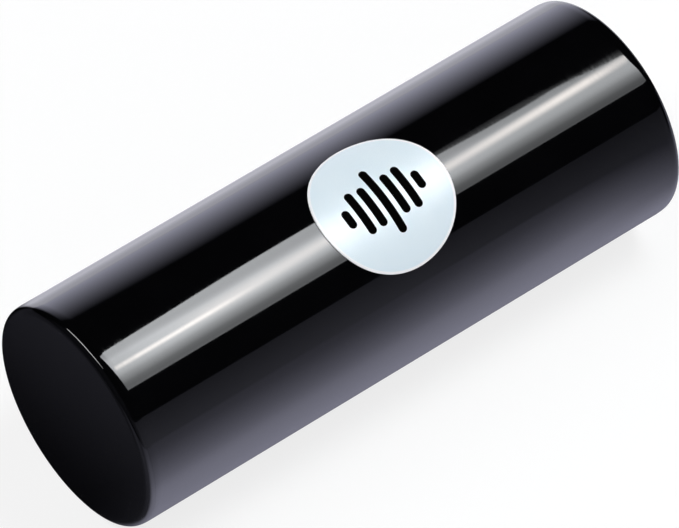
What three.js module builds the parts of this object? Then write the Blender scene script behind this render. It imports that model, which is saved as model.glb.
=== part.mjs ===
// Percussion shaker: a steel tube closed by two flush end caps, with a round label stuck on its side
// and a charge of loose steel pellets inside, which rattle when it is shaken.
// Millimetres, +Z up. The shaker lies along X, and its lowest line is at z = 0 below the origin.
import * as THREE from 'three';

// Tube
const OVERALL_LENGTH = 149.5;
const TUBE_DIAMETER = 54;
const TUBE_WALL = 1;

// End caps: pressed cups whose skirts are glued into the bore
const RIM_RADIUS = 1.5; // rounding of a cap's outer edge, from the seam with the tube to the flat end
const CAP_PLATE = 1.2; // thickness of the flat end
const SKIRT_WALL = 1;
const SKIRT_LENGTH = 6; // reach into the tube, from the seam
const SKIRT_CLEARANCE = 0.1; // round the skirt, inside the bore
const SEAM_GAP = 0.1; // between a tube end and the cap's rim

// Label: a round sticker wrapped on the tube
const LABEL_DIAMETER = 33.3; // as cut, before it is wrapped
const LABEL_THICKNESS = 0.2;
const LABEL_GLUE = 0.1; // adhesive between the sticker and the tube
const LABEL_OFFSET = 3.1; // from mid-length towards +X
const LABEL_TURN = THREE.MathUtils.degToRad(21); // from the top of the tube towards -Y
const LABEL_MESH_STEP = 2.5; // longest step between the sticker's vertices

// Pellets
const PELLET_DIAMETER = 4;
const PELLET_GAP = 0.3; // clear space round each pellet
const PELLET_ROWS = 21; // rows along the tube

// Facets
const TUBE_SIDES = 72;
const RIM_STEPS = 2; // two facets for each step
const PELLET_DETAIL = 1;

// Sizes that follow from these
const tubeRadius = TUBE_DIAMETER / 2;
const boreRadius = tubeRadius - TUBE_WALL;
const axisHeight = tubeRadius * Math.cos(Math.PI / TUBE_SIDES); // the tube rests on one flat facet
const endFace = OVERALL_LENGTH / 2;
const seam = endFace - RIM_RADIUS;
const skirtRadius = boreRadius - SKIRT_CLEARANCE;
const skirtEnd = seam - SKIRT_LENGTH;

// Finishes
const blackLacquer = { color: 0x070708, roughness: 0.08, metalness: 0 };
const pearlVinyl = { color: 0xe2ebf2, roughness: 0.35, metalness: 0 };
const brightSteel = { color: 0xb9bcc0, roughness: 0.25, metalness: 1 };

function piece(name, geometry, finish) {
  const mesh = new THREE.Mesh(geometry, new THREE.MeshStandardMaterial(finish));
  mesh.name = name;
  return mesh;
}

// A shape turned about X from a path of (radius, place along X), with a flat facet underneath.
function turned(path) {
  const profile = path.getPoints(RIM_STEPS);
  const firstCorner = Math.PI + Math.PI / TUBE_SIDES;
  return new THREE.LatheGeometry(profile, TUBE_SIDES, firstCorner).rotateZ(-Math.PI / 2);
}

function makeTube() {
  const tubeEnd = seam - SEAM_GAP;
  const wall = new THREE.Path()
    .moveTo(boreRadius, -tubeEnd)
    .lineTo(tubeRadius, -tubeEnd)
    .lineTo(tubeRadius, tubeEnd)
    .lineTo(boreRadius, tubeEnd)
    .lineTo(boreRadius, -tubeEnd);
  return piece('body_tube', turned(wall), blackLacquer);
}

// A cap for the +X end: from the middle of its inner face, round the skirt and the rim, to its outer face.
function makeCap(name) {
  const innerFace = endFace - CAP_PLATE;
  const section = new THREE.Path()
    .moveTo(0, innerFace)
    .lineTo(skirtRadius - SKIRT_WALL, innerFace)
    .lineTo(skirtRadius - SKIRT_WALL, skirtEnd)
    .lineTo(skirtRadius, skirtEnd)
    .lineTo(skirtRadius, seam)
    .lineTo(tubeRadius, seam)
    .absarc(tubeRadius - RIM_RADIUS, seam, RIM_RADIUS, 0, Math.PI / 2)
    .lineTo(0, endFace);
  return piece(name, turned(section), blackLacquer);
}

// A round flat sticker, made about +Y and then wrapped on the tube with its middle on top.
function makeLabel() {
  const radius = LABEL_DIAMETER / 2;
  const rings = Math.ceil(radius / LABEL_MESH_STEP);
  const sides = Math.ceil((2 * Math.PI * radius) / LABEL_MESH_STEP);
  const profile = [];
  for (let i = 0; i <= rings; i++) profile.push(new THREE.Vector2((radius * i) / rings, 0));
  for (let i = rings; i >= 0; i--) profile.push(new THREE.Vector2((radius * i) / rings, LABEL_THICKNESS));

  const geometry = new THREE.LatheGeometry(profile, sides);
  const innerRadius = tubeRadius + LABEL_GLUE;
  const points = geometry.getAttribute('position');
  for (let i = 0; i < points.count; i++) {
    const angle = points.getX(i) / innerRadius;
    const reach = innerRadius + points.getY(i);
    points.setXYZ(i, points.getZ(i), reach * Math.sin(angle), reach * Math.cos(angle));
  }
  geometry.computeVertexNormals();
  return piece('round_label', geometry, pearlVinyl);
}

// The pellets lie along the bottom of the bore in rows of three and two, spread out between the skirts.
function makePellets() {
  const radius = PELLET_DIAMETER / 2;
  const spacing = PELLET_DIAMETER + PELLET_GAP;
  const path = boreRadius - radius - PELLET_GAP; // how far a resting pellet's middle is from the axis
  const lastRow = skirtEnd - radius - PELLET_GAP;
  const lanes = [
    [-spacing, 0, spacing],
    [-spacing / 2, spacing / 2],
  ];

  const pellets = new THREE.Group();
  for (let row = 0; row < PELLET_ROWS; row++) {
    const x = THREE.MathUtils.lerp(-lastRow, lastRow, row / (PELLET_ROWS - 1));
    for (const y of lanes[row % 2]) {
      const number = String(pellets.children.length + 1).padStart(2, '0');
      const ball = piece(`pellet_${number}`, new THREE.IcosahedronGeometry(radius, PELLET_DETAIL), brightSteel);
      ball.position.set(x, y, -Math.sqrt(path ** 2 - y ** 2));
      pellets.add(ball);
    }
  }
  return pellets;
}

const nearCap = makeCap('near_end_cap');
nearCap.rotation.z = Math.PI; // the same cap, turned round to the -X end
const farCap = makeCap('far_end_cap');

const label = makeLabel();
label.position.x = LABEL_OFFSET;
label.rotation.x = LABEL_TURN;

const onAxis = new THREE.Group();
onAxis.position.z = axisHeight;
onAxis.add(makeTube(), nearCap, farCap, label, makePellets());

const shaker = new THREE.Group();
shaker.name = 'percussion_shaker';
shaker.add(onAxis);

export default shaker;
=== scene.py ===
"""A percussion shaker in its studio.

A gloss black tube closed by two flush caps carries a round pearly label, printed with a row of sound
level bars, and holds a charge of loose steel pellets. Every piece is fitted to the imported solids.
"""

from __future__ import annotations

import logging
import math
from dataclasses import dataclass
from enum import Enum
from functools import cache
from typing import Any

import bmesh
import bpy
from mathutils import Matrix, Vector


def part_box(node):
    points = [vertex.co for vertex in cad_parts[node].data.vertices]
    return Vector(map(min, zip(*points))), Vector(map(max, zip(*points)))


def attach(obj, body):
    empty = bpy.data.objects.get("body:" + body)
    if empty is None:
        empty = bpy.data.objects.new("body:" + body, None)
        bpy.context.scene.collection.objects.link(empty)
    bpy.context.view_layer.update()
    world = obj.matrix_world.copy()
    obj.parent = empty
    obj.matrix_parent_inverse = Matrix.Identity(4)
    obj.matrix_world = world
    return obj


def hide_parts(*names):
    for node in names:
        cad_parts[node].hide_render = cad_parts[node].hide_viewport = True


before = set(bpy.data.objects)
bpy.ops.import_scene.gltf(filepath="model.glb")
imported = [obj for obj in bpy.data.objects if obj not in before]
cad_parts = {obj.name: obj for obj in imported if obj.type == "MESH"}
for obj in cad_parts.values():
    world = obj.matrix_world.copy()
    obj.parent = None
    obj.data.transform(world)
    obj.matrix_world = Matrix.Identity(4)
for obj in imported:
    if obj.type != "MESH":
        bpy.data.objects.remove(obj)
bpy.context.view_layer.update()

SHELL_BODY = "shell"
MM = 0.001

log = logging.getLogger("shaker")
Socket = bpy.types.NodeSocket
Colour = tuple[float, float, float]
Span = tuple[float, float]
Step = tuple[float, float, float]
Stops = tuple[tuple[float, float], ...]


class Wiring:
    """Adds nodes to a tree and links them, with one call for each node."""

    def __init__(self, tree: bpy.types.NodeTree) -> None:
        """Works on the given tree."""
        self.tree = tree

    def add(self, kind: str, inputs: dict[str | int, Any] | None = None, **options: Any) -> bpy.types.Node:
        """Adds one node.

        Args:
            kind: The node's type.
            inputs: Values, or sockets to link, by the name or the number of the input that takes them.
            options: The node's own settings.

        Returns:
            The new node.
        """
        node = self.tree.nodes.new(kind)
        for name, value in options.items():
            setattr(node, name, value)
        for key, value in (inputs or {}).items():
            if isinstance(value, bpy.types.NodeSocket):
                self.tree.links.new(value, node.inputs[key])
            else:
                node.inputs[key].default_value = value
        return node

    def math(self, operation: str, *values: float | Socket) -> Socket:
        """Adds a sum and returns its result."""
        return self.add("ShaderNodeMath", dict(enumerate(values)), operation=operation).outputs[0]

    def vector(self, operation: str, *values: Any) -> Socket:
        """Adds a vector sum and returns its result, which is a number for a length or a distance."""
        node = self.add("ShaderNodeVectorMath", dict(enumerate(values)), operation=operation)
        return node.outputs["Value" if operation in ("LENGTH", "DISTANCE") else "Vector"]

    def split(self, vector: Socket) -> list[Socket]:
        """Returns a vector's three parts."""
        return list(self.add("ShaderNodeSeparateXYZ", {0: vector}).outputs)

    def join(self, x: float | Socket, y: float | Socket, z: float | Socket) -> Socket:
        """Returns the vector of three parts."""
        return self.add("ShaderNodeCombineXYZ", {"X": x, "Y": y, "Z": z}).outputs[0]

    def ease(self, value: Socket, start: float, end: float, low: float = 0.0, high: float = 1.0) -> Socket:
        """Maps a value smoothly from one range to another.

        Args:
            value: What is mapped.
            start: Where the result is still low.
            end: Where the result is high; it may be below start.
            low: The result before start.
            high: The result past end.

        Returns:
            The mapped value.
        """
        first, last = (low, high) if start < end else (high, low)
        inputs = {
            "Value": value,
            "From Min": min(start, end),
            "From Max": max(start, end),
            "To Min": first,
            "To Max": last,
        }
        return self.add("ShaderNodeMapRange", inputs, interpolation_type="SMOOTHSTEP").outputs["Result"]

    def noise(self, vector: Socket, scale: float, detail: float = 2.0) -> Socket:
        """Adds a noise texture and returns its value, which is about 0.5 on average."""
        inputs = {"Vector": vector, "Scale": scale, "Detail": detail}
        return self.add("ShaderNodeTexNoise", inputs).outputs[0]

    def tint(self, factor: Socket, first: Colour | Socket, second: Colour) -> Socket:
        """Mixes two colours.

        Args:
            factor: The share of the second colour.
            first: The first colour, or the socket that gives it.
            second: The second colour.

        Returns:
            The mixed colour.
        """
        node = self.add("ShaderNodeMix", {"Factor": factor}, data_type="RGBA")
        start, end = [s for s in node.inputs if s.type == "RGBA"]
        if isinstance(first, bpy.types.NodeSocket):
            self.tree.links.new(first, start)
        else:
            start.default_value = (*first, 1.0)
        end.default_value = (*second, 1.0)
        return next(s for s in node.outputs if s.type == "RGBA")

    def coloured(self, light: Socket, colour: Colour) -> Socket:
        """Returns a light's strength as a colour."""
        return self.vector("MULTIPLY", self.join(light, light, light), colour)

    def surface(self, relief: Socket, depth: float, inputs: dict[str, Any]) -> Socket:
        """Adds a surface with a fine relief.

        Args:
            relief: The relief's height, from 0 to 1.
            depth: How deep it is, in metres.
            inputs: The surface's colour, roughness and other inputs.

        Returns:
            The surface's shader.
        """
        bump = self.add("ShaderNodeBump", {"Strength": 1.0, "Distance": depth, "Height": relief})
        inputs = {**inputs, "Normal": bump.outputs["Normal"]}
        return self.add("ShaderNodeBsdfPrincipled", inputs).outputs["BSDF"]


@dataclass(frozen=True)
class Finish:
    """A named surface finish, whose material is made once.

    Attributes:
        title: The material's name.
        slot: The record's material slot that it stands for; not used by this script.
    """

    title: str
    slot: str

    @cache
    def material(self) -> bpy.types.Material:
        """Makes the finish's material on first use.

        Returns:
            The material.
        """
        material = bpy.data.materials.new(self.title)
        material.use_nodes = True
        material.node_tree.nodes.clear()
        wiring = Wiring(material.node_tree)
        wiring.add("ShaderNodeOutputMaterial", {"Surface": self.shader(wiring)})
        return material

    def shader(self, wiring: Wiring) -> Socket:
        """Builds the finish's nodes and returns the shader to show."""
        raise NotImplementedError


@dataclass(frozen=True)
class BlackLacquer(Finish):
    """Deep gloss black lacquer on metal, with faint draw lines round the tube and a little orange peel."""

    title: str = "gloss_black_lacquer"
    slot: str = "black_lacquer"
    black: Colour = (0.0008, 0.0008, 0.0010)
    haze: Colour = (0.0020, 0.0020, 0.0025)
    haze_size: float = 12 * MM
    gloss: float = 0.035
    line_gloss: float = 0.065
    line_pitch: float = 0.6 * MM
    line_length: float = 25 * MM
    line_detail: float = 3.0
    line_cut: Span = (0.35, 0.7)
    peel_size: float = 2.2 * MM
    peel_depth: float = 0.0012 * MM

    def shader(self, wiring: Wiring) -> Socket:
        """Builds the finish's nodes.

        Args:
            wiring: The material's nodes.

        Returns:
            The shader to show.
        """
        place = wiring.add("ShaderNodeTexCoord").outputs["Object"]
        stretch = (1 / self.line_pitch, 1 / self.line_length, 1 / self.line_length)
        lines = wiring.noise(wiring.vector("MULTIPLY", place, stretch), 1.0, self.line_detail)
        inputs = {
            "Base Color": wiring.tint(wiring.noise(place, 1 / self.haze_size), self.black, self.haze),
            "Roughness": wiring.ease(lines, *self.line_cut, self.gloss, self.line_gloss),
        }
        return wiring.surface(wiring.noise(place, 1 / self.peel_size), self.peel_depth, inputs)


@dataclass(frozen=True)
class PearlVinyl(Finish):
    """Satin sticker vinyl, pale pearly blue inside a thin white border."""

    title: str = "satin_pearl_vinyl"
    slot: str = "pearl_vinyl"
    pearl: Colour = (0.74, 0.86, 0.925)
    glow: Colour = (0.80, 0.895, 0.94)
    border: Colour = (0.95, 0.96, 0.97)
    border_start: float = 0.482
    border_blur: float = 0.003
    cloud_scale: float = 5.0
    fleck_scale: float = 260.0
    fleck_detail: float = 1.0
    fleck_cut: Span = (0.3, 0.7)
    satin: float = 0.24
    dull: float = 0.34
    fleck_depth: float = 0.002 * MM

    def shader(self, wiring: Wiring) -> Socket:
        """Builds the finish's nodes.

        Args:
            wiring: The material's nodes.

        Returns:
            The shader to show.
        """
        flat = wiring.add("ShaderNodeUVMap", uv_map=RoundLabel.FLAT_MAP).outputs["UV"]
        flecks = wiring.noise(flat, self.fleck_scale, self.fleck_detail)
        pearl = wiring.tint(wiring.noise(flat, self.cloud_scale), self.pearl, self.glow)
        reach = wiring.vector("DISTANCE", flat, RoundLabel.MAP_MIDDLE)
        start, blur = self.border_start, self.border_blur
        edge = wiring.ease(reach, start - blur, start + blur)
        inputs = {
            "Base Color": wiring.tint(edge, pearl, self.border),
            "Roughness": wiring.ease(flecks, *self.fleck_cut, self.satin, self.dull),
        }
        return wiring.surface(flecks, self.fleck_depth, inputs)


@dataclass(frozen=True)
class PrintInk(Finish):
    """Black screen ink, a little uneven where it is thin."""

    title: str = "print_ink"
    slot: str = "black_lacquer"
    solid: Colour = (0.0005, 0.0005, 0.0004)
    thin: Colour = (0.0012, 0.0011, 0.0010)
    patch_size: float = 1.6 * MM
    patch_detail: float = 4.0
    patch_cut: Span = (0.35, 0.65)
    satin: float = 0.5
    dull: float = 0.65
    shine: float = 0.006
    grain_depth: float = 0.001 * MM

    def shader(self, wiring: Wiring) -> Socket:
        """Builds the finish's nodes.

        Args:
            wiring: The material's nodes.

        Returns:
            The shader to show.
        """
        place = wiring.add("ShaderNodeTexCoord").outputs["Object"]
        patches = wiring.noise(place, 1 / self.patch_size, self.patch_detail)
        inputs = {
            "Base Color": wiring.tint(patches, self.solid, self.thin),
            "Specular IOR Level": self.shine,
            "Roughness": wiring.ease(patches, *self.patch_cut, self.satin, self.dull),
        }
        return wiring.surface(patches, self.grain_depth, inputs)


@dataclass(frozen=True)
class BrightSteel(Finish):
    """Tumbled steel shot, bright with fine scuffs."""

    title: str = "tumbled_steel"
    slot: str = "bright_steel"
    steel: Colour = (0.52, 0.53, 0.54)
    grey: Colour = (0.36, 0.36, 0.37)
    scuff_size: float = 0.5 * MM
    scuff_detail: float = 4.0
    scuff_cut: Span = (0.35, 0.7)
    polished: float = 0.16
    scuffed: float = 0.38
    scuff_depth: float = 0.004 * MM

    def shader(self, wiring: Wiring) -> Socket:
        """Builds the finish's nodes.

        Args:
            wiring: The material's nodes.

        Returns:
            The shader to show.
        """
        place = wiring.add("ShaderNodeTexCoord").outputs["Object"]
        scuffs = wiring.noise(place, 1 / self.scuff_size, self.scuff_detail)
        inputs = {
            "Base Color": wiring.tint(scuffs, self.steel, self.grey),
            "Metallic": 1.0,
            "Roughness": wiring.ease(scuffs, *self.scuff_cut, self.polished, self.scuffed),
        }
        return wiring.surface(scuffs, self.scuff_depth, inputs)


class InputKind(Enum):
    """What an input of a growing tree takes."""

    LENGTH = "NodeSocketFloat"
    COUNT = "NodeSocketInt"
    PLACE = "NodeSocketVector"
    FINISH = "NodeSocketMaterial"


class Grower:
    """A Geometry Nodes tree with named inputs, which grows plain meshes."""

    GEOMETRY = "NodeSocketGeometry"
    LAID = dict.fromkeys(("tube_radius", "axis_height", "offset", "turn"), InputKind.LENGTH)
    HUB = 0.001 * MM
    WELD_REACH = 0.004 * MM

    def __init__(self, name: str, **inputs: InputKind) -> None:
        """Starts a tree whose first input is the seed mesh, followed by the named ones and a finish.

        Args:
            name: The tree's name.
            inputs: What each named input takes.
        """
        self.tree = bpy.data.node_groups.new(name, "GeometryNodeTree")
        self.tree.interface.new_socket("seed", in_out="INPUT", socket_type=self.GEOMETRY)
        self.keys = {}
        for title, kind in {**inputs, "finish": InputKind.FINISH}.items():
            socket = self.tree.interface.new_socket(title, in_out="INPUT", socket_type=kind.value)
            self.keys[title] = socket.identifier
        self.tree.interface.new_socket("shape", in_out="OUTPUT", socket_type=self.GEOMETRY)
        self.wiring = Wiring(self.tree)
        self.inputs = self.wiring.add("NodeGroupInput").outputs

    def turn(self, section: Socket, sides: Socket) -> Socket:
        """Turns a section round Z.

        Args:
            section: A line mesh in the XY plane: X is the radius and Y the place along Z.
            sides: How many sides the turned shape has.

        Returns:
            The closed surface.
        """
        profile = self.wiring.add("GeometryNodeMeshToCurve", {"Mesh": section}).outputs["Curve"]
        ring = {"Resolution": sides, "Radius": self.HUB}
        circle = self.wiring.add("GeometryNodeCurvePrimitiveCircle", ring).outputs["Curve"]
        skin = self.wiring.add("GeometryNodeCurveToMesh", {"Curve": circle, "Profile Curve": profile})
        upright = self.wiring.add(
            "GeometryNodeTransform", {"Geometry": skin.outputs["Mesh"], "Rotation": (math.pi, 0.0, 0.0)}
        )
        return self.weld(upright.outputs[0])

    def weld(self, mesh: Socket) -> Socket:
        """Merges the vertices that lie on each other."""
        inputs = {"Geometry": mesh, "Distance": self.WELD_REACH}
        return self.wiring.add("GeometryNodeMergeByDistance", inputs).outputs[0]

    def wrap(self, mesh: Socket) -> Socket:
        """Lays a flat mesh round the tube: X runs along the tube, Y up round it and Z out of it.

        Args:
            mesh: What is laid; the tree has the inputs that LAID names.

        Returns:
            The wrapped mesh.
        """
        wiring, radius = self.wiring, self.inputs["tube_radius"]
        x, y, z = wiring.split(wiring.add("GeometryNodeInputPosition").outputs[0])
        angle = wiring.math("SUBTRACT", self.inputs["turn"], wiring.math("DIVIDE", y, radius))
        reach = wiring.math("ADD", z, radius)
        front = wiring.math("MULTIPLY", reach, wiring.math("SINE", angle))
        rise = wiring.math("MULTIPLY", reach, wiring.math("COSINE", angle))
        place = wiring.join(
            wiring.math("ADD", x, self.inputs["offset"]),
            wiring.math("MULTIPLY", front, -1.0),
            wiring.math("ADD", rise, self.inputs["axis_height"]),
        )
        return wiring.add("GeometryNodeSetPosition", {"Geometry": mesh, "Position": place}).outputs[0]

    def close(self, mesh: Socket, crease: float = math.radians(30)) -> None:
        """Ends the tree: smooth shading but at sharp edges, real geometry and the finish.

        Args:
            mesh: The grown mesh.
            crease: The angle past which an edge stays sharp.
        """
        wiring = self.wiring
        angle = wiring.add("GeometryNodeInputMeshEdgeAngle").outputs["Unsigned Angle"]
        rounded = wiring.math("LESS_THAN", angle, crease)
        smooth = wiring.add("GeometryNodeSetShadeSmooth", {0: mesh, "Shade Smooth": True}, domain="FACE")
        shaded = wiring.add(
            "GeometryNodeSetShadeSmooth", {0: smooth.outputs[0], "Shade Smooth": rounded}, domain="EDGE"
        )
        real = wiring.add("GeometryNodeRealizeInstances", {"Geometry": shaded.outputs[0]})
        dressed = wiring.add(
            "GeometryNodeSetMaterial", {"Geometry": real.outputs[0], "Material": self.inputs["finish"]}
        )
        wiring.add("NodeGroupOutput", {"shape": dressed.outputs[0]})

    def grow(
        self, name: str, finish: Finish, seed: bpy.types.Mesh | None = None, **sizes: Any
    ) -> bpy.types.Object:
        """Grows one object and turns it into a plain mesh.

        Args:
            name: The object's name.
            finish: Its finish.
            seed: The mesh that the tree starts from, if it needs one.
            sizes: The values of the tree's named inputs.

        Returns:
            The finished object, with no modifier.
        """
        seed = seed or bpy.data.meshes.new(f"{name}_seed")
        piece = link(name, seed)
        modifier = piece.modifiers.new(self.tree.name, "NODES")
        modifier.node_group = self.tree
        for title, value in {**sizes, "finish": finish.material()}.items():
            modifier[self.keys[title]] = value
        depsgraph = bpy.context.evaluated_depsgraph_get()
        mesh = bpy.data.meshes.new_from_object(piece.evaluated_get(depsgraph))
        piece.modifiers.clear()
        mesh.name = name
        mesh.materials.clear()
        mesh.materials.append(finish.material())
        piece.data = mesh
        bpy.data.meshes.remove(seed)
        return piece


class Outline:
    """A section drawn point by point, as radius from the axis and place along it, in metres."""

    ARC_STEP = 0.12 * MM
    ARC_LEAST = 4
    SAME_POINT = 1e-7

    def __init__(self, radius: float, place: float) -> None:
        """Starts the outline at a point."""
        self.points = [Vector((radius, place, 0.0))]

    def line(self, radius: float, place: float, step: float = math.inf) -> Outline:
        """Draws a straight line to a point.

        Args:
            radius: The point's radius from the axis.
            place: The point's place along the axis.
            step: The longest step along the line, where it is to bend later.

        Returns:
            The outline.
        """
        start = self.points[-1]
        end = Vector((radius, place, 0.0))
        count = max(1, math.ceil((end - start).length / step))
        self.points += [start.lerp(end, i / count) for i in range(1, count + 1)]
        return self

    def arc(self, radius: float, place: float, size: float, first: float, last: float) -> Outline:
        """Draws an arc about a middle point.

        Args:
            radius: The middle's radius from the axis.
            place: The middle's place along the axis.
            size: The arc's own radius.
            first: The angle that it starts at, from straight outwards towards +place, in radians.
            last: The angle that it ends at.

        Returns:
            The outline.
        """
        count = max(self.ARC_LEAST, math.ceil(abs(last - first) * size / self.ARC_STEP))
        start = Vector((radius + size * math.cos(first), place + size * math.sin(first), 0.0))
        if (start - self.points[-1]).length > self.SAME_POINT:
            self.points.append(start)
        for i in range(1, count + 1):
            angle = first + (last - first) * i / count
            along, out = size * math.sin(angle), size * math.cos(angle)
            self.points.append(Vector((radius + out, place + along, 0.0)))
        return self

    def mirrored(self) -> Outline:
        """Adds the outline's mirror image in place = 0, backwards, to make a ring."""
        self.points += [Vector((p.x, -p.y, 0.0)) for p in reversed(self.points)]
        return self

    def mesh(self, name: str, ring: bool = False) -> bpy.types.Mesh:
        """Makes a mesh of the outline's edges.

        Args:
            name: The name of the piece that it is for.
            ring: Whether the outline is closed.

        Returns:
            The mesh.
        """
        count = len(self.points)
        edges = [(i, (i + 1) % count) for i in range(count if ring else count - 1)]
        mesh = bpy.data.meshes.new(f"{name}_section")
        mesh.from_pydata(self.points, edges, [])
        return mesh


def link(name: str, data: bpy.types.ID) -> bpy.types.Object:
    """Makes an object and puts it in the scene.

    Args:
        name: The object's name.
        data: Its mesh, light or camera.

    Returns:
        The new object, at the origin.
    """
    made = bpy.data.objects.new(name, data)
    bpy.context.scene.collection.objects.link(made)
    return made


@dataclass(frozen=True)
class Gauge:
    """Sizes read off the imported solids, in metres.

    Attributes:
        axis: Height of the tube's axis.
        radius: Outside radius of the tube.
        bore: Inside radius of the tube.
        tube_end: Half the tube's length.
        end: Half the overall length.
        skirt_end: How near to mid-length a cap's skirt reaches.
    """

    axis: float
    radius: float
    bore: float
    tube_end: float
    end: float
    skirt_end: float

    @classmethod
    def read(cls) -> Gauge:
        """Measures the frame's tube and far cap.

        Returns:
            The sizes.
        """
        low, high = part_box("body_tube")
        axis = (low.z + high.z) / 2
        reaches = [math.hypot(v.co.y, v.co.z - axis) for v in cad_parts["body_tube"].data.vertices]
        cap_low, cap_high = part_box("far_end_cap")
        return cls(axis, max(reaches), min(reaches), high.x, cap_high.x, cap_low.x)


@dataclass(frozen=True)
class Rim:
    """The rounding at each end: a gentle crown on the tube's last stretch, then the cap's round edge.

    Attributes:
        gauge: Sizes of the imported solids.
        seam: Width of the hairline between the tube and a cap.
        crown: Length of the crown on the tube, up to the seam.
        crown_lean: How far the surface leans in by the seam, in radians.
        edge: Rounding of the two edges at the seam.
        support: Length of the flat strip kept beside each rounding.
    """

    gauge: Gauge
    seam: float = 0.02 * MM
    crown: float = 1.5 * MM
    crown_lean: float = math.radians(8)
    edge: float = 0.01 * MM
    support: float = 0.5 * MM

    @property
    def crown_radius(self) -> float:
        """Radius of the crown's arc."""
        return self.crown / math.sin(self.crown_lean)

    @property
    def crown_start(self) -> float:
        """Where the crown leaves the straight tube."""
        return self.cap_start - self.crown

    @property
    def cap_start(self) -> float:
        """Where the cap's round edge starts, at its side of the seam."""
        return self.gauge.tube_end + self.seam

    @property
    def seam_radius(self) -> float:
        """Radius of the surface at the seam."""
        return self.gauge.radius - self.crown_radius * (1 - math.cos(self.crown_lean))

    @property
    def edge_radius(self) -> float:
        """Radius of the cap's round edge, which ends square on the flat end."""
        return (self.gauge.end - self.cap_start) / (1 - math.sin(self.crown_lean))


@dataclass
class BodyTube:
    """The straight steel tube.

    Attributes:
        gauge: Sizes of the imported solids.
        rim: The rounding at its ends.
        sides: Facets round the tube.
    """

    gauge: Gauge
    rim: Rim
    sides: int = 256

    def section(self) -> Outline:
        """Draws the wall's section round one end, from the outside to the bore, and mirrors it.

        Returns:
            The section.
        """
        gauge, rim = self.gauge, self.rim
        lean = rim.crown_lean - rim.seam / rim.crown_radius
        outer = gauge.radius - rim.crown_radius * (1 - math.cos(lean))
        edge = rim.edge
        return (
            Outline(gauge.radius, rim.crown_start - rim.support)
            .arc(gauge.radius - rim.crown_radius, rim.crown_start, rim.crown_radius, 0.0, lean)
            .arc(outer - edge, gauge.tube_end - edge, edge, lean, math.pi / 2)
            .arc(gauge.bore + edge, gauge.tube_end - edge, edge, math.pi / 2, math.pi)
            .line(gauge.bore, gauge.tube_end - rim.support)
            .mirrored()
        )

    def build(self, turner: Grower, finish: Finish) -> list[bpy.types.Object]:
        """Makes the tube.

        Args:
            turner: The tree that turns sections.
            finish: The tube's finish.

        Returns:
            The tube, as a list of one piece.
        """
        name = "gloss_tube"
        tube = turner.grow(
            name,
            finish,
            self.section().mesh(name, ring=True),
            sides=self.sides,
            axis_height=self.gauge.axis,
            heading=0.0,
        )
        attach(tube, SHELL_BODY)
        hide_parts("body_tube")
        return [tube]


class End(Enum):
    """The tube's two ends: the node of each cap and the way that it faces, as a turn about Z."""

    NEAR = ("near_end_cap", math.pi)
    FAR = ("far_end_cap", 0.0)


@dataclass
class EndCap:
    """A pressed cup whose skirt is glued into the bore.

    Attributes:
        gauge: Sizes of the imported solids.
        rim: Its round edge.
        end: Which end it closes.
        plate: Thickness of the flat end.
        skirt_wall: Thickness of the skirt.
        clearance: Gap between the skirt and the bore.
        inner_edge: Rounding of the pressed bends.
        sides: Facets round the cap.
    """

    gauge: Gauge
    rim: Rim
    end: End
    plate: float = 1.2 * MM
    skirt_wall: float = 1 * MM
    clearance: float = 0.1 * MM
    inner_edge: float = 0.3 * MM
    sides: int = 256

    def section(self) -> Outline:
        """Draws the cup's section, from the middle of its inner face round the skirt to its outer face.

        Returns:
            The section.
        """
        gauge, rim = self.gauge, self.rim
        inside = gauge.end - self.plate
        skirt = gauge.bore - self.clearance
        throat = skirt - self.skirt_wall
        bend = self.inner_edge
        edge_middle = rim.seam_radius - rim.edge_radius * math.cos(rim.crown_lean)
        return (
            Outline(0.0, inside)
            .line(throat - bend - rim.support, inside)
            .arc(throat - bend, inside - bend, bend, math.pi / 2, 0.0)
            .arc(throat + bend, gauge.skirt_end + bend, bend, math.pi, 1.5 * math.pi)
            .arc(skirt - bend, gauge.skirt_end + bend, bend, -math.pi / 2, 0.0)
            .line(skirt, rim.cap_start)
            .line(rim.seam_radius - rim.edge, rim.cap_start)
            .arc(edge_middle, gauge.end - rim.edge_radius, rim.edge_radius, rim.crown_lean, math.pi / 2)
            .line(edge_middle - rim.support, gauge.end)
            .line(0.0, gauge.end)
        )

    def build(self, turner: Grower, finish: Finish) -> list[bpy.types.Object]:
        """Makes the cap.

        Args:
            turner: The tree that turns sections.
            finish: The cap's finish.

        Returns:
            The cap, as a list of one piece.
        """
        node, heading = self.end.value
        name = f"gloss_{node}"
        cap = turner.grow(
            name,
            finish,
            self.section().mesh(name),
            sides=self.sides,
            axis_height=self.gauge.axis,
            heading=heading,
        )
        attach(cap, SHELL_BODY)
        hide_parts(node)
        return [cap]


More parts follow.
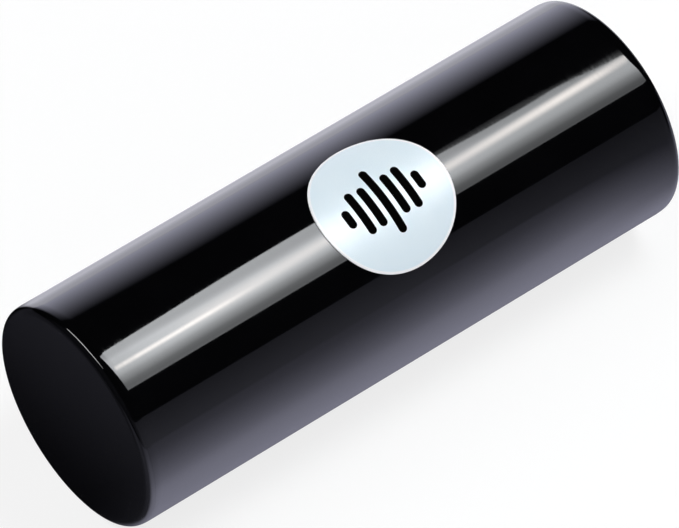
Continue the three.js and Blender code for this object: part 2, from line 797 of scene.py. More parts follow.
@dataclass
class RoundLabel:
    """The round sticker wrapped on the tube's side, and the bars printed on it.

    Attributes:
        gauge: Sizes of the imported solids.
        diameter: Size of the sticker as cut.
        thickness: The sticker and its glue.
        edge: Rounding of its cut edge.
        offset: How far its middle is past mid-length, towards +X.
        turn: How far its middle is from the top of the tube, towards -Y, in radians.
        ring_step: Longest step from ring to ring of its mesh.
        sides: Sides of the disc.
        bars: How many bars are printed.
        pitch: From bar to bar.
        bar_width: Width of a bar.
        tallest: Height of the middle bar.
        shortest: Height that the outer bars fall towards.
        dip: Share of its height that every second bar loses.
        ink: Thickness of the print.
    """

    FLAT_MAP = "flat"
    MAP_MIDDLE = (0.5, 0.5, 0.0)
    BAR_MESH = (9, 65)

    gauge: Gauge
    diameter: float = 33.3 * MM
    thickness: float = 0.3 * MM
    edge: float = 0.12 * MM
    offset: float = 3.1 * MM
    turn: float = math.radians(21)
    ring_step: float = 0.8 * MM
    sides: int = 160
    bars: int = 7
    pitch: float = 3.2 * MM
    bar_width: float = 2 * MM
    tallest: float = 17 * MM
    shortest: float = 5 * MM
    dip: float = 0.32
    ink: float = 0.03 * MM

    def section(self) -> Outline:
        """Draws the disc's section, from the middle of its back round the cut edge to that of its face.

        Returns:
            The section.
        """
        radius = self.diameter / 2
        return (
            Outline(0.0, 0.0)
            .line(radius, 0.0, self.ring_step)
            .arc(radius - self.edge, self.thickness - self.edge, self.edge, 0.0, math.pi / 2)
            .line(0.0, self.thickness, self.ring_step)
        )

    def laid(self, lift: float) -> dict[str, float]:
        """Says where something is laid on the tube.

        Args:
            lift: Its height above the tube's surface.

        Returns:
            The values of the inputs that Grower.LAID names.
        """
        return {
            "tube_radius": self.gauge.radius + lift,
            "axis_height": self.gauge.axis,
            "offset": self.offset,
            "turn": self.turn,
        }

    def disc_tree(self) -> Grower:
        """Builds the tree of the sticker: a turned disc, mapped flat and then wrapped.

        Returns:
            The tree.
        """
        grower = Grower(
            "wrapped_disc", sides=InputKind.COUNT, diameter=InputKind.LENGTH, **Grower.LAID
        )
        wiring = grower.wiring
        disc = grower.turn(grower.inputs["seed"], grower.inputs["sides"])
        place = wiring.add("GeometryNodeInputPosition").outputs[0]
        share = wiring.vector("DIVIDE", place, wiring.join(*[grower.inputs["diameter"]] * 3))
        flat = wiring.vector("ADD", share, self.MAP_MIDDLE)
        mapped = wiring.add(
            "GeometryNodeStoreNamedAttribute",
            {"Geometry": disc, "Name": self.FLAT_MAP, "Value": flat},
            data_type="FLOAT2",
            domain="CORNER",
        )
        grower.close(grower.wrap(mapped.outputs[0]))
        return grower

    def bars_tree(self) -> Grower:
        """Builds the tree of the print: a row of round-ended bars, tallest in the middle, wrapped.

        Returns:
            The tree.
        """
        lengths = ("pitch", "bar_width", "tallest", "shortest", "dip", "ink")
        grower = Grower(
            "level_bars",
            bars=InputKind.COUNT,
            **dict.fromkeys(lengths, InputKind.LENGTH),
            **Grower.LAID,
        )
        wiring, inputs = grower.wiring, grower.inputs
        across, along = self.BAR_MESH
        row = wiring.add(
            "GeometryNodeMeshLine", {"Count": inputs["bars"], "Offset": (0.0, 0.0, 0.0)}, mode="OFFSET"
        )
        square = {"Size X": 1.0, "Size Y": 1.0, "Vertices X": across, "Vertices Y": along}
        patch = wiring.add("GeometryNodeMeshGrid", square)
        copies = wiring.add(
            "GeometryNodeInstanceOnPoints", {"Points": row.outputs[0], "Instance": patch.outputs["Mesh"]}
        )
        real = wiring.add("GeometryNodeRealizeInstances", {"Geometry": copies.outputs[0]}).outputs[0]

        index = wiring.add("GeometryNodeInputIndex").outputs[0]
        bar = wiring.math("FLOOR", wiring.math("DIVIDE", index, float(across * along)))
        middle = wiring.math("DIVIDE", wiring.math("SUBTRACT", inputs["bars"], 1.0), 2.0)
        step = wiring.math("ABSOLUTE", wiring.math("SUBTRACT", bar, middle))
        angle = wiring.math("MULTIPLY", step, math.pi)
        swell = wiring.math("COSINE", wiring.math("DIVIDE", angle, wiring.math("ADD", inputs["bars"], 1.0)))
        span = wiring.math("SUBTRACT", inputs["tallest"], inputs["shortest"])
        full = wiring.math("MULTIPLY_ADD", span, wiring.math("MULTIPLY", swell, swell), inputs["shortest"])
        odd = wiring.math("MULTIPLY", wiring.math("MODULO", step, 2.0), inputs["dip"])
        height = wiring.math("MULTIPLY", full, wiring.math("SUBTRACT", 1.0, odd))

        x, y, _ = wiring.split(wiring.add("GeometryNodeInputPosition").outputs[0])
        half = wiring.math("DIVIDE", inputs["bar_width"], 2.0)
        top = wiring.math("DIVIDE", height, 2.0)
        rise = wiring.math("MULTIPLY", wiring.math("SINE", wiring.math("MULTIPLY", y, math.pi)), top)
        shoulder = wiring.math("SUBTRACT", top, half)
        past = wiring.math("MAXIMUM", wiring.math("SUBTRACT", wiring.math("ABSOLUTE", rise), shoulder), 0.0)
        past = wiring.math("MULTIPLY", past, past)
        left = wiring.math("SUBTRACT", wiring.math("MULTIPLY", half, half), past)
        reach = wiring.math("SQRT", wiring.math("MAXIMUM", left, 0.0))
        side = wiring.math("MULTIPLY", wiring.math("MULTIPLY", x, 2.0), reach)
        spot = wiring.math("MULTIPLY_ADD", wiring.math("SUBTRACT", bar, middle), inputs["pitch"], side)
        shaped = {"Geometry": real, "Position": wiring.join(spot, rise, 0.0)}
        flat = grower.weld(wiring.add("GeometryNodeSetPosition", shaped).outputs[0])
        raised = wiring.add(
            "GeometryNodeExtrudeMesh",
            {"Mesh": flat, "Offset": (0.0, 0.0, 1.0), "Offset Scale": inputs["ink"], "Individual": False},
            mode="FACES",
        )
        back = wiring.add("GeometryNodeFlipFaces", {"Mesh": flat})
        whole = wiring.add("GeometryNodeJoinGeometry", {"Geometry": raised.outputs["Mesh"]})
        wiring.tree.links.new(back.outputs[0], whole.inputs[0])
        grower.close(grower.wrap(grower.weld(whole.outputs[0])))
        return grower

    def build(self, vinyl: Finish, ink: Finish) -> list[bpy.types.Object]:
        """Makes the sticker and its print.

        Args:
            vinyl: The sticker's finish.
            ink: The print's finish.

        Returns:
            The sticker and the print.
        """
        name = "pearl_sticker"
        sticker = self.disc_tree().grow(
            name,
            vinyl,
            self.section().mesh(name),
            sides=self.sides,
            diameter=self.diameter,
            **self.laid(0.0),
        )
        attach(sticker, SHELL_BODY)
        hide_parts("round_label")
        printed = self.bars_tree().grow(
            "printed_bars",
            ink,
            bars=self.bars,
            pitch=self.pitch,
            bar_width=self.bar_width,
            tallest=self.tallest,
            shortest=self.shortest,
            dip=self.dip,
            ink=self.ink,
            **self.laid(self.thickness),
        )
        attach(printed, SHELL_BODY)
        return [sticker, printed]


@dataclass
class PelletCharge:
    """The loose steel pellets that make the sound, each on a body of its own.

    Attributes:
        diameter: Size of a pellet.
        dent: Depth of the tumbling dents.
        dent_size: Width of a dent.
        detail: How often the pellet's mesh is divided.
    """

    diameter: float = 4 * MM
    dent: float = 0.03 * MM
    dent_size: float = 1.2 * MM
    detail: int = 4

    def tree(self) -> Grower:
        """Builds the tree of one pellet: a ball with small seeded dents, put in its place.

        Returns:
            The tree.
        """
        grower = Grower(
            "tumbled_pellet",
            diameter=InputKind.LENGTH,
            dent=InputKind.LENGTH,
            dent_size=InputKind.LENGTH,
            detail=InputKind.COUNT,
            draw=InputKind.PLACE,
            place=InputKind.PLACE,
        )
        wiring, inputs = grower.wiring, grower.inputs
        radius = wiring.math("DIVIDE", inputs["diameter"], 2.0)
        ball = wiring.add("GeometryNodeMeshIcoSphere", {"Radius": radius, "Subdivisions": inputs["detail"]})
        spot = wiring.vector("ADD", wiring.add("GeometryNodeInputPosition").outputs[0], inputs["draw"])
        dents = wiring.noise(spot, wiring.math("DIVIDE", 1.0, inputs["dent_size"]))
        depth = wiring.math("MULTIPLY", dents, wiring.math("MULTIPLY", inputs["dent"], -1.0))
        normal = wiring.add("GeometryNodeInputNormal").outputs[0]
        push = wiring.vector("MULTIPLY", normal, wiring.join(*[depth] * 3))
        offset = wiring.vector("ADD", push, inputs["place"])
        moved = {"Geometry": ball.outputs["Mesh"], "Offset": offset}
        grower.close(wiring.add("GeometryNodeSetPosition", moved).outputs[0])
        return grower

    def build(self, finish: Finish) -> list[bpy.types.Object]:
        """Makes every pellet in the place of its solid.

        Args:
            finish: The pellets' finish.

        Returns:
            The pellets.
        """
        grower = self.tree()
        nodes = sorted(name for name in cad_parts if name.startswith("pellet_"))
        pellets = []
        for number, node in enumerate(nodes):
            low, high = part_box(node)
            pellet = grower.grow(
                f"steel_{node}",
                finish,
                diameter=self.diameter,
                dent=self.dent,
                dent_size=self.dent_size,
                detail=self.detail,
                draw=(number * self.diameter, 0.0, 0.0),
                place=(low + high) / 2,
            )
            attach(pellet, node)
            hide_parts(node)
            pellets.append(pellet)
        return pellets


def turner_tree() -> Grower:
    """Builds the tree that turns a section about the tube's axis.

    Returns:
        The tree, whose heading turns the result about Z so that it can face either end.
    """
    grower = Grower(
        "turned_section", sides=InputKind.COUNT, axis_height=InputKind.LENGTH, heading=InputKind.LENGTH
    )
    wiring, inputs = grower.wiring, grower.inputs
    upright = grower.turn(inputs["seed"], inputs["sides"])
    lying = wiring.add("GeometryNodeTransform", {"Geometry": upright, "Rotation": (0.0, math.pi / 2, 0.0)})
    placed = wiring.add(
        "GeometryNodeTransform",
        {
            "Geometry": lying.outputs[0],
            "Rotation": wiring.join(0.0, 0.0, inputs["heading"]),
            "Translation": wiring.join(0.0, 0.0, inputs["axis_height"]),
        },
    )
    grower.close(placed.outputs[0])
    return grower


@dataclass(frozen=True)
class GlowingPanel(Finish):
    """The face of a lamp, whose light follows the panel's own map.

    Attributes:
        strength: Its brightest light.
        colour: The light's colour.
        across: Light across the panel, from its back to its front edge, as stops of place and share.
        along: Light along the panel, the same way, from -X to +X.
    """

    slot: str = ""
    strength: float = 1.0
    colour: Colour = (1.0, 1.0, 1.0)
    across: Stops = ((0.0, 1.0), (1.0, 1.0))
    along: Stops = ((0.0, 1.0), (1.0, 1.0))

    def shader(self, wiring: Wiring) -> Socket:
        """Builds the lamp's nodes and returns the shader to show."""
        u, v, _ = wiring.split(wiring.add("ShaderNodeUVMap", uv_map=LightPanel.FLAT_MAP).outputs["UV"])
        return wiring.add("ShaderNodeEmission", {"Color": self.light(wiring, u, v)}).outputs[0]

    def light(self, wiring: Wiring, u: Socket, v: Socket) -> Socket:
        """Returns the colour of the light at a place along and across the panel."""
        share = wiring.math("MULTIPLY", self.ramp(wiring, u, self.along), self.ramp(wiring, v, self.across))
        return wiring.coloured(wiring.math("MULTIPLY", share, self.strength), self.colour)

    @staticmethod
    def ramp(wiring: Wiring, place: Socket, stops: Stops) -> Socket:
        """Maps a place on the panel to a share of its light.

        Args:
            wiring: The material's nodes.
            place: From 0 to 1.
            stops: Places with the share of light at each.

        Returns:
            The share of light.
        """
        node = wiring.add("ShaderNodeValToRGB", {"Fac": place})
        ramp = node.color_ramp
        ramp.interpolation = "CARDINAL"
        while len(ramp.elements) < len(stops):
            ramp.elements.new(1.0)
        for element, (position, share) in zip(ramp.elements, stops):
            element.position = position
            element.color = (share, share, share, 1.0)
        return node.outputs["Color"]


@dataclass(frozen=True)
class SoftBoxGlow(GlowingPanel):
    """The soft box's face: a broad cool glow with a warm streak, which drifts to the back, and a thin one.

    Attributes:
        warm: The colour of both streaks.
        streak: Light of the broad streak where it is brightest.
        streak_along: Light of the broad streak along the panel, as stops of place and share.
        streak_place: Where it runs across the panel, at the panel's near end.
        streak_bend: Where it starts to drift, and how fast.
        streak_taper: Where it starts to narrow along the panel, and where it is narrow.
        streak_width: Half its width, before and after that.
        line: Light of the thin streak where it is brightest.
        line_along: Light of the thin streak along the panel.
        line_place: Where it runs across the panel.
        line_width: Half its width.
        back_edge: Where the face ends at the back, as stops of place along and across the panel.
        edge_blur: Half the width over which the face fades there.
        edge_glow: Share of the light that spills over that edge.
        edge_reach: How far it spills.
    """

    title: str = "soft_box_glow"
    strength: float = 14.0
    colour: Colour = (0.97, 1.0, 1.03)
    across: Stops = (
        (0.0, 0.75), (0.185, 0.70), (0.272, 0.83), (0.34, 1.02), (0.44, 1.03), (0.52, 1.0), (0.564, 0.96),
        (0.601, 0.9), (0.643, 0.78), (0.69, 0.60), (0.822, 0.30), (0.913, 0.20), (0.95, 0.20), (1.0, 0.21),
    )
    along: Stops = (
        (0.0, 0.72), (0.225, 0.77), (0.25, 0.97), (0.28, 0.96), (0.332, 0.90), (0.443, 0.70), (0.518, 0.63),
        (1.0, 0.6),
    )
    warm: Colour = (1.05, 0.93, 0.84)
    streak: float = 12.0
    streak_along: Stops = (
        (0.0, 0.0), (0.26, 0.0), (0.282, 0.34), (0.31, 0.4), (0.434, 0.6), (0.472, 0.86), (0.51, 1.02),
        (0.526, 0.5), (1.0, 0.45),
    )
    streak_place: float = 0.473
    streak_bend: Span = (0.21, 1.14)
    streak_taper: Span = (0.26, 0.41)
    streak_width: Span = (0.2, 0.13)
    line: float = 11.3
    line_along: Stops = (
        (0.0, 0.0), (0.215, 0.0), (0.235, 1.0), (0.262, 1.0), (0.282, 0.75), (0.303, 0.2), (0.324, 0.0),
        (1.0, 0.0),
    )
    line_place: float = 0.511
    line_width: float = 0.07
    back_edge: Stops = (
        (0.0, 0.0), (0.4, 0.0), (0.466, 0.115), (0.502, 0.155), (0.522, 0.135), (0.53, 0.2), (0.536, 0.255),
        (0.56, 0.28), (1.0, 0.3),
    )
    edge_blur: float = 0.025
    edge_glow: float = 0.15
    edge_reach: float = 0.2

    def light(self, wiring: Wiring, u: Socket, v: Socket) -> Socket:
        """Finds the colour of the light at a place on the panel.

        Args:
            wiring: The material's nodes.
            u: The place along the panel.
            v: The place across it.

        Returns:
            The colour.
        """
        start, rate = self.streak_bend
        past = wiring.math("SUBTRACT", u, start)
        drift = wiring.math("MULTIPLY", wiring.math("MULTIPLY", past, past), rate)
        width = wiring.ease(u, *self.streak_taper, *self.streak_width)
        broad = self.band(wiring, wiring.math("ADD", v, drift), self.streak_place, width)
        broad = wiring.math("MULTIPLY", broad, self.ramp(wiring, u, self.streak_along))
        thin = self.band(wiring, v, self.line_place, self.line_width)
        thin = wiring.math("MULTIPLY", thin, self.ramp(wiring, u, self.line_along))
        streaks = wiring.math("MULTIPLY_ADD", broad, self.streak, wiring.math("MULTIPLY", thin, self.line))
        face = wiring.vector("ADD", super().light(wiring, u, v), wiring.coloured(streaks, self.warm))

        inside = wiring.math("SUBTRACT", v, self.ramp(wiring, u, self.back_edge))
        lit = wiring.ease(inside, -self.edge_blur, self.edge_blur, 0.0, 1.0 - self.edge_glow)
        spill = wiring.ease(inside, -self.edge_reach, 0.0, 0.0, self.edge_glow)
        share = wiring.math("ADD", lit, spill)
        return wiring.vector("MULTIPLY", face, wiring.join(share, share, share))

    @staticmethod
    def band(wiring: Wiring, place: Socket, middle: float, width: float | Socket) -> Socket:
        """Returns a band's light: 1 in its middle, fading to 0 at half its width on either side."""
        off = wiring.math("ABSOLUTE", wiring.math("SUBTRACT", place, middle))
        return wiring.ease(wiring.math("DIVIDE", off, width), 1.0, 0.0)


@dataclass(frozen=True)
class StudioWalls(Finish):
    """The light of the room: a bright sweep behind, a low dim wall in front and a dark ceiling.

    Attributes:
        colour: The walls' colour.
        sweep: Light of the sweep behind, at its foot.
        sweep_top: Height where the sweep has faded out, as the sine of its angle.
        sweep_dip: Where that height drops towards -X, as the sine of the angle, and the drop.
        front: Light of the wall in front, at its foot.
        front_fall: How much of it is lost with height.
        front_top: Height where the wall in front ends, the same way.
        front_blur: Half the height over which it ends.
        front_dim: Where it dims towards +X, the same way, and the share left.
        sweep_span: The sweep's ends along X, as the sine of the angle: dark, lit, still lit and dark again.
        front_span: The same for the wall in front.
        corner: Half the width over which the wall in front turns into the sweep.
        side: Light of the side wall towards -X.
        side_span: Where that wall starts along X and where it is full.
        side_rise: The same for its height.
    """

    JUST_OVER_ONE = 1.0001

    title: str = "studio_walls"
    slot: str = ""
    colour: Colour = (0.925, 0.93, 1.15)
    sweep: float = 1.77
    sweep_top: float = 0.68
    sweep_dip: Step = (0.385, 0.335, 0.06)
    front: float = 0.43
    front_fall: float = 0.5
    front_top: float = 0.425
    front_blur: float = 0.01
    front_dim: Step = (0.40, 0.49, 0.6)
    sweep_span: tuple[float, float, float, float] = (-0.05, 0.42, 0.58, 0.72)
    front_span: tuple[float, float, float, float] = (-0.9, -0.15, 0.62, 0.75)
    corner: float = 0.03
    side: float = 0.05
    side_span: Span = (-0.5, -0.7)
    side_rise: Span = (0.02, 0.1)

    def shader(self, wiring: Wiring) -> Socket:
        """Builds the room's nodes.

        Args:
            wiring: The material's nodes.

        Returns:
            The shader to show.
        """
        place = wiring.add("ShaderNodeTexCoord").outputs["Object"]
        x, y, z = wiring.split(wiring.vector("NORMALIZE", place))
        across = wiring.math("SUBTRACT", self.JUST_OVER_ONE, wiring.math("MULTIPLY", x, x))
        rise = wiring.math("MAXIMUM", wiring.math("DIVIDE", z, wiring.math("SQRT", across)), 0.0)

        start, end, drop = self.sweep_dip
        height = wiring.math("ADD", rise, wiring.ease(x, start, end, 0.0, drop))
        fade = wiring.math("SUBTRACT", 1.0, wiring.math("DIVIDE", height, self.sweep_top))
        fade = wiring.math("MULTIPLY", wiring.math("MAXIMUM", fade, 0.0), math.pi / 2)
        sweep = wiring.math("MULTIPLY", wiring.math("SINE", fade), self.sweep)
        sweep = wiring.math("MULTIPLY", sweep, self.between(wiring, x, self.sweep_span))

        front = wiring.math("SUBTRACT", self.front, wiring.math("MULTIPLY", rise, self.front_fall))
        top = wiring.ease(rise, self.front_top + self.front_blur, self.front_top - self.front_blur)
        start, end, left = self.front_dim
        for share in (top, wiring.ease(x, start, end, 1.0, left), self.between(wiring, x, self.front_span)):
            front = wiring.math("MULTIPLY", front, share)

        behind = wiring.ease(y, -self.corner, self.corner)
        middle = wiring.math("MULTIPLY_ADD", behind, wiring.math("SUBTRACT", sweep, front), front)
        side = wiring.ease(x, *self.side_span, 0.0, self.side)
        side = wiring.math("MULTIPLY", side, wiring.ease(z, *self.side_rise))
        inputs = {"Color": (*self.colour, 1.0), "Strength": wiring.math("ADD", middle, side)}
        return wiring.add("ShaderNodeEmission", inputs).outputs[0]

    @staticmethod
    def between(wiring: Wiring, place: Socket, span: tuple[float, float, float, float]) -> Socket:
        """Returns 1 inside a span and 0 outside it, eased at both ends."""
        start, full, last, end = span
        return wiring.math("MULTIPLY", wiring.ease(place, start, full), wiring.ease(place, end, last))


@dataclass(frozen=True)
class PaleFloor(Finish):
    """A white table top that fades into the white behind it.

    In reflections it shows painted light instead of its lit face, an emission that only gloss rays see: a
    painted reflection, bright behind and dimmer in front, with painted shade dark round the shaker.

    Attributes:
        near: Where the shaker's near end is, along X.
        white: The table's colour.
        seen: Share of the table's own light that the camera sees; the rest is fill.
        fill: The even white that makes up for it.
        front_colour: The colour of the painted reflection in front.
        front_rise: From the contact line, where the painted light in front starts and where it is full;
            short of it lies the painted shadow of the shaker.
        front_peak: How far off it would be 1 above its base.
        front_fall: Over what length it falls to a third.
        front_base: What is left far off.
        front_drift: How far along X the light's ends move for each length to the front.
        front_near: Where the light gains towards the near end, and how much.
        front_far: Where it loses towards the far end, and how much.
        front_grow: From the contact line, where that gain and loss start and where they are full.
        behind_colour: The colour of the painted reflection behind.
        behind_steps: The steps in which the painted light behind grows: start, end and gain.
        front_end: Where the painted light in front ends past the near end, in painted shade: dark and lit,
            as slopes from front_from.
        front_from: How far off the front those slopes start.
        front_left: Share of that painted light left in the painted shade.
        behind_end: Where the painted light behind ends in painted shade, the same way, seen from
            behind_from.
        behind_from: How far short of the near end those slopes start.
        slope_least: The least length that a slope is measured over.
        dim: The faint painted light left in the painted shade past the near end, close by and farther off.
        dim_ahead: Over what stretch it grows towards the front, and how much.
        dim_reach: Over what stretch that light grows.
        dim_start: How far short of the near end it starts.
        fade: Where the table starts to fade out and where it has gone, from the origin.
    """

    title: str = "pale_floor"
    slot: str = ""
    near: float = 0.0
    white: float = 0.9
    seen: float = 0.25
    fill: float = 0.8
    front_colour: Colour = (0.915, 0.915, 1.17)
    front_rise: Span = (7.6 * MM, 50.5 * MM)
    front_peak: float = 47.5 * MM
    front_fall: float = 65 * MM
    front_base: float = 0.54
    front_drift: float = 0.46
    front_near: Step = (-20 * MM, -80 * MM, 0.12)
    front_far: Step = (36 * MM, 80 * MM, 0.52)
    front_grow: Span = (22 * MM, 45 * MM)
    behind_colour: Colour = (0.96, 0.96, 1.08)
    behind_steps: tuple[Step, ...] = (
        (20 * MM, 60 * MM, 0.82), (62 * MM, 130 * MM, 0.8), (150 * MM, 400 * MM, 0.25),
    )
    front_end: Span = (1.3, 0.1)
    front_from: float = 20 * MM
    front_left: float = 0.12
    behind_end: Span = (0.02, -0.19)
    behind_from: float = 23 * MM
    slope_least: float = 4 * MM
    dim: Span = (0.014, 0.085)
    dim_ahead: Span = (30 * MM, 0.06)
    dim_reach: float = 32 * MM
    dim_start: float = 4 * MM
    fade: Span = (0.4, 0.9)

    def shader(self, wiring: Wiring) -> Socket:
        """Builds the table's nodes.

        Args:
            wiring: The material's nodes.

        Returns:
            The shader to show.
        """
        place = wiring.add("ShaderNodeTexCoord").outputs["Object"]
        path = wiring.add("ShaderNodeLightPath").outputs
        direct = wiring.math("MAXIMUM", path["Is Camera Ray"], path["Is Transmission Ray"])
        paint = wiring.math("MULTIPLY", wiring.ease(direct, 0.0, 1.0, 1.0, self.seen), self.white)
        table = wiring.add("ShaderNodeBsdfDiffuse", {"Color": paint})
        fill = wiring.add("ShaderNodeEmission", {"Strength": wiring.math("MULTIPLY", direct, self.fill)})
        plain = wiring.add("ShaderNodeAddShader", {0: table.outputs[0], 1: fill.outputs[0]})
        # Gloss rays see a painted reflection of the table, an emission, not its lit face.
        mirrored = wiring.add("ShaderNodeEmission", {"Color": self.reflection(wiring, place)})
        parts = {0: path["Is Glossy Ray"], 1: plain.outputs[0], 2: mirrored.outputs[0]}
        shown = wiring.add("ShaderNodeMixShader", parts).outputs[0]
        gone = wiring.ease(wiring.vector("LENGTH", place), *self.fade)
        clear = wiring.add("ShaderNodeBsdfTransparent").outputs[0]
        return wiring.add("ShaderNodeMixShader", {0: gone, 1: shown, 2: clear}).outputs[0]

    def reflection(self, wiring: Wiring, place: Socket) -> Socket:
        """Returns the painted reflection of the table: painted light, with painted shade round the shaker.

        Args:
            wiring: The material's nodes.
            place: The place on the table.

        Returns:
            The colour of the painted light.
        """
        x, y, _ = wiring.split(place)
        # Painted light of the table in front, rising out of a painted contact shadow along the shaker.
        ahead = wiring.math("MAXIMUM", wiring.math("MULTIPLY", y, -1.0), 0.0)
        fall = wiring.math("DIVIDE", wiring.math("SUBTRACT", self.front_peak, ahead), self.front_fall)
        front = wiring.math("ADD", wiring.math("EXPONENT", fall), self.front_base)
        front = wiring.math("MULTIPLY", front, wiring.ease(ahead, *self.front_rise))
        along = wiring.math("MULTIPLY_ADD", ahead, -self.front_drift, x)
        ends = (self.front_near, self.front_far)
        more, less = (wiring.ease(along, start, end, 0.0, share) for start, end, share in ends)
        change = wiring.math("SUBTRACT", more, less)
        change = wiring.math("MULTIPLY_ADD", change, wiring.ease(ahead, *self.front_grow), 1.0)
        front = wiring.math("MULTIPLY", front, change)
        # Painted light of the table behind, in steps.
        behind: float | Socket = 0.0
        for start, end, gain in self.behind_steps:
            behind = wiring.math("ADD", wiring.ease(y, start, end, 0.0, gain), behind)

        # Painted shade past the shaker's near end, with a faint painted light left in it; it also cuts off
        # the painted light in front and behind.
        past_near = wiring.math("SUBTRACT", self.near, x)
        left = wiring.ease(past_near, 0.0, self.dim_reach, *self.dim)
        reach, gain = self.dim_ahead
        left = wiring.math("ADD", left, wiring.ease(ahead, 0.0, reach, 0.0, gain))
        left = wiring.math("MULTIPLY", left, wiring.ease(past_near, -self.dim_start, 0.0))
        off = wiring.math("MAXIMUM", wiring.math("SUBTRACT", ahead, self.front_from), self.slope_least)
        lit = wiring.ease(wiring.math("DIVIDE", past_near, off), *self.front_end, self.front_left, 1.0)
        front = wiring.math("MULTIPLY_ADD", front, lit, left)
        short = wiring.math("ADD", past_near, self.behind_from)
        slope = wiring.math("DIVIDE", short, wiring.math("MAXIMUM", y, self.slope_least))
        behind = wiring.math("MULTIPLY", behind, wiring.ease(slope, *self.behind_end))
        return wiring.vector(
            "ADD", wiring.coloured(front, self.front_colour), wiring.coloured(behind, self.behind_colour)
        )


@dataclass
class LightPanel:
    """A flat lamp over the shaker, square to one direction in the plane across the tube.

    Attributes:
        name: Its name.
        glow: The light of its face.
        lean: Its direction from straight up, towards -Y, in radians.
        distance: From the tube's axis.
        corners: Its outline, as places along X and across towards the front.
        mirrored: Whether gloss surfaces show it.
    """

    FLAT_MAP = "panel"

    name: str
    glow: GlowingPanel
    lean: float
    distance: float
    corners: list[tuple[float, float]]
    mirrored: bool = True

    def build(self, axis: float) -> bpy.types.Object:
        """Makes the panel.

        Args:
            axis: Height of the tube's axis.

        Returns:
            The panel, which the camera doesn't see.
        """
        up = Vector((0.0, -math.sin(self.lean), math.cos(self.lean)))
        front = Vector((0.0, -math.cos(self.lean), -math.sin(self.lean)))
        middle = Vector((0.0, 0.0, axis)) + up * self.distance
        mesh = bpy.data.meshes.new(self.name)
        places = [middle + Vector((x, 0.0, 0.0)) + front * w for x, w in self.corners]
        mesh.from_pydata(places, [], [range(len(places))])
        xs = [x for x, _ in self.corners]
        ws = [w for _, w in self.corners]
        layer = mesh.uv_layers.new(name=self.FLAT_MAP)
        for loop, (x, w) in zip(layer.data, self.corners):
            loop.uv = ((x - min(xs)) / (max(xs) - min(xs)), (w - min(ws)) / (max(ws) - min(ws)))
        mesh.materials.append(self.glow.material())
        panel = link(self.name, mesh)
        panel.visible_camera = False
        panel.visible_glossy = self.mirrored
        return panel


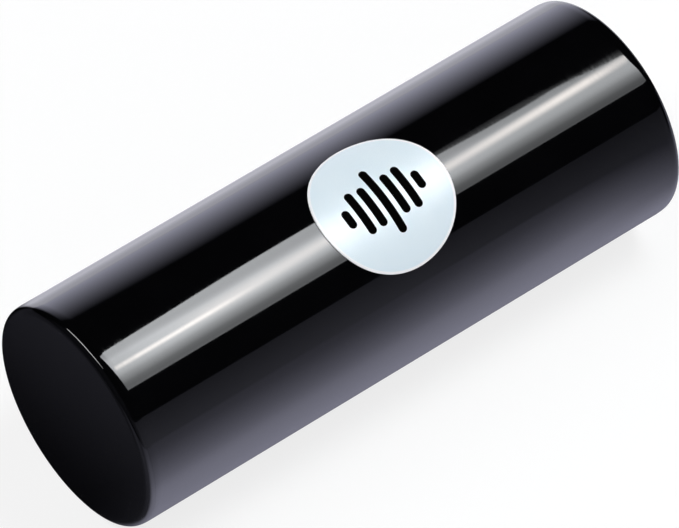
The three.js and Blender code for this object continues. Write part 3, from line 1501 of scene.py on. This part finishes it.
@dataclass
class Studio:
    """The camera, the table and the light round the shaker.

    Attributes:
        gauge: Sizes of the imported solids.
        image_width: Width of the picture, in pixels.
        focal_pixels: Focal length of the camera, in the same pixels.
        azimuth: Where the camera stands, from the -Y side towards +X, in radians.
        elevation: How far above the horizon it stands, in radians.
        distance: From the camera to the point that it aims at.
        pan: How far that point is from the tube's middle, to the right and up in the picture.
        room: Radius of the studio's walls.
        table: Radius of the table top.
    """

    TABLE_SIDES = 96
    ROOM_SIDES = (64, 32)

    gauge: Gauge
    image_width: int = 679
    focal_pixels: float = 6785.0
    azimuth: float = math.radians(-38.731)
    elevation: float = math.radians(47.670)
    distance: float = 1.4924
    pan: Span = (-1.069 * MM, -1.044 * MM)
    room: float = 2.0
    table: float = 1.2

    def camera(self) -> bpy.types.Object:
        """Makes the camera at the photograph's viewing angle.

        Returns:
            The camera.
        """
        data = bpy.data.cameras.new("camera")
        data.lens = data.sensor_width * self.focal_pixels / self.image_width
        camera = link("camera", data)
        level = math.cos(self.elevation)
        back = Vector(
            (math.sin(self.azimuth) * level, -math.cos(self.azimuth) * level, math.sin(self.elevation))
        )
        right = Vector((math.cos(self.azimuth), math.sin(self.azimuth), 0.0))
        up = back.cross(right)
        aim = Vector((0.0, 0.0, self.gauge.axis)) + right * self.pan[0] + up * self.pan[1]
        turn = Matrix((right, up, back)).transposed().to_4x4()
        camera.matrix_world = Matrix.Translation(aim + back * self.distance) @ turn
        bpy.context.scene.camera = camera
        return camera

    @staticmethod
    def stand(name: str, shape: bmesh.types.BMesh, finish: Finish) -> bpy.types.Object:
        """Turns a shape into a piece of the studio.

        Args:
            name: The piece's name.
            shape: Its shape, which is used up.
            finish: Its finish.

        Returns:
            The piece.
        """
        mesh = bpy.data.meshes.new(name)
        shape.to_mesh(mesh)
        shape.free()
        mesh.materials.append(finish.material())
        return link(name, mesh)

    def floor(self) -> bpy.types.Object:
        """Makes the table top under the shaker.

        Returns:
            The table top.
        """
        finish = PaleFloor(near=-self.gauge.end)
        # The table's painted reflection glows, but is kept out of light sampling.
        finish.material().cycles.emission_sampling = "NONE"
        shape = bmesh.new()
        foot = Matrix.Translation((0.0, 0.0, self.gauge.axis - self.gauge.radius))
        bmesh.ops.create_circle(
            shape, cap_ends=True, segments=self.TABLE_SIDES, radius=self.table, matrix=foot
        )
        return self.stand("pale_floor", shape, finish)

    def walls(self) -> bpy.types.Object:
        """Makes the room round the table, which the camera sees through.

        Returns:
            The room.
        """
        around, upward = self.ROOM_SIDES
        shape = bmesh.new()
        bmesh.ops.create_uvsphere(shape, u_segments=around, v_segments=upward, radius=self.room)
        room = self.stand("studio_walls", shape, StudioWalls())
        room.visible_camera = False
        room.visible_shadow = False
        return room

    def lamps(self) -> list[bpy.types.Object]:
        """Makes the soft box overhead, the slim lamp that edges the near rim and a fill lamp.

        Returns:
            The lamps.
        """
        soft_box = LightPanel(
            "soft_box",
            SoftBoxGlow(),
            lean=math.radians(15.9),
            distance=1.0,
            corners=[
                (0.362, 0.40), (0.98, 0.355), (0.84, 0.11), (0.69, -0.064), (0.64, -0.20), (0.64, -0.45),
                (0.46, -0.45), (0.44, -0.437), (0.42, -0.418), (0.40, -0.394), (0.38, -0.378),
                (0.36, -0.355), (0.30, -0.33), (0.15, -0.30),
            ],
        )
        edging = ((0.0, 0.7), (0.4, 1.0), (0.8, 0.7), (1.0, 0.2))
        rim_lamp = LightPanel(
            "rim_lamp",
            GlowingPanel("rim_lamp_glow", strength=14.5, across=edging),
            lean=math.radians(-26.0),
            distance=0.9,
            corners=[
                (-0.66, 0.62), (-0.52, 0.62), (-0.53, 0.20), (-0.36, -0.30), (-0.48, -0.30), (-0.67, 0.20),
            ],
        )
        fill_lamp = LightPanel(
            "fill_lamp",
            GlowingPanel("fill_lamp_glow", strength=1.7),
            lean=math.radians(65.0),
            distance=1.0,
            corners=[(-0.9, 0.4), (-0.2, 0.4), (-0.2, -0.4), (-0.9, -0.4)],
            mirrored=False,
        )
        return [lamp.build(self.gauge.axis) for lamp in (soft_box, rim_lamp, fill_lamp)]

    def world(self) -> None:
        """Makes the plain white that the camera sees past the table."""
        world = bpy.data.worlds.new("white")
        world.use_nodes = True
        world.node_tree.nodes["Background"].inputs["Color"].default_value = (1.0, 1.0, 1.0, 1.0)
        bpy.context.scene.world = world

    def build(self) -> None:
        """Sets up the whole studio."""
        self.camera()
        self.world()
        self.floor()
        self.walls()
        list(self.lamps())
        bpy.context.scene.view_settings.view_transform = "Standard"


def main() -> None:
    """Builds the shaker piece by piece, then its studio."""
    logging.basicConfig(level=logging.INFO, format="%(name)s: %(message)s")
    gauge = Gauge.read()
    rim = Rim(gauge)
    turner = turner_tree()
    lacquer = BlackLacquer()
    pieces = BodyTube(gauge, rim).build(turner, lacquer)
    for end in End:
        pieces += EndCap(gauge, rim, end).build(turner, lacquer)
    pieces += RoundLabel(gauge).build(PearlVinyl(), PrintInk())
    pieces += PelletCharge().build(BrightSteel())
    for piece in pieces:
        log.info("%s: %d faces", piece.name, len(piece.data.polygons))
    Studio(gauge).build()


if __name__ == "__main__":
    main()
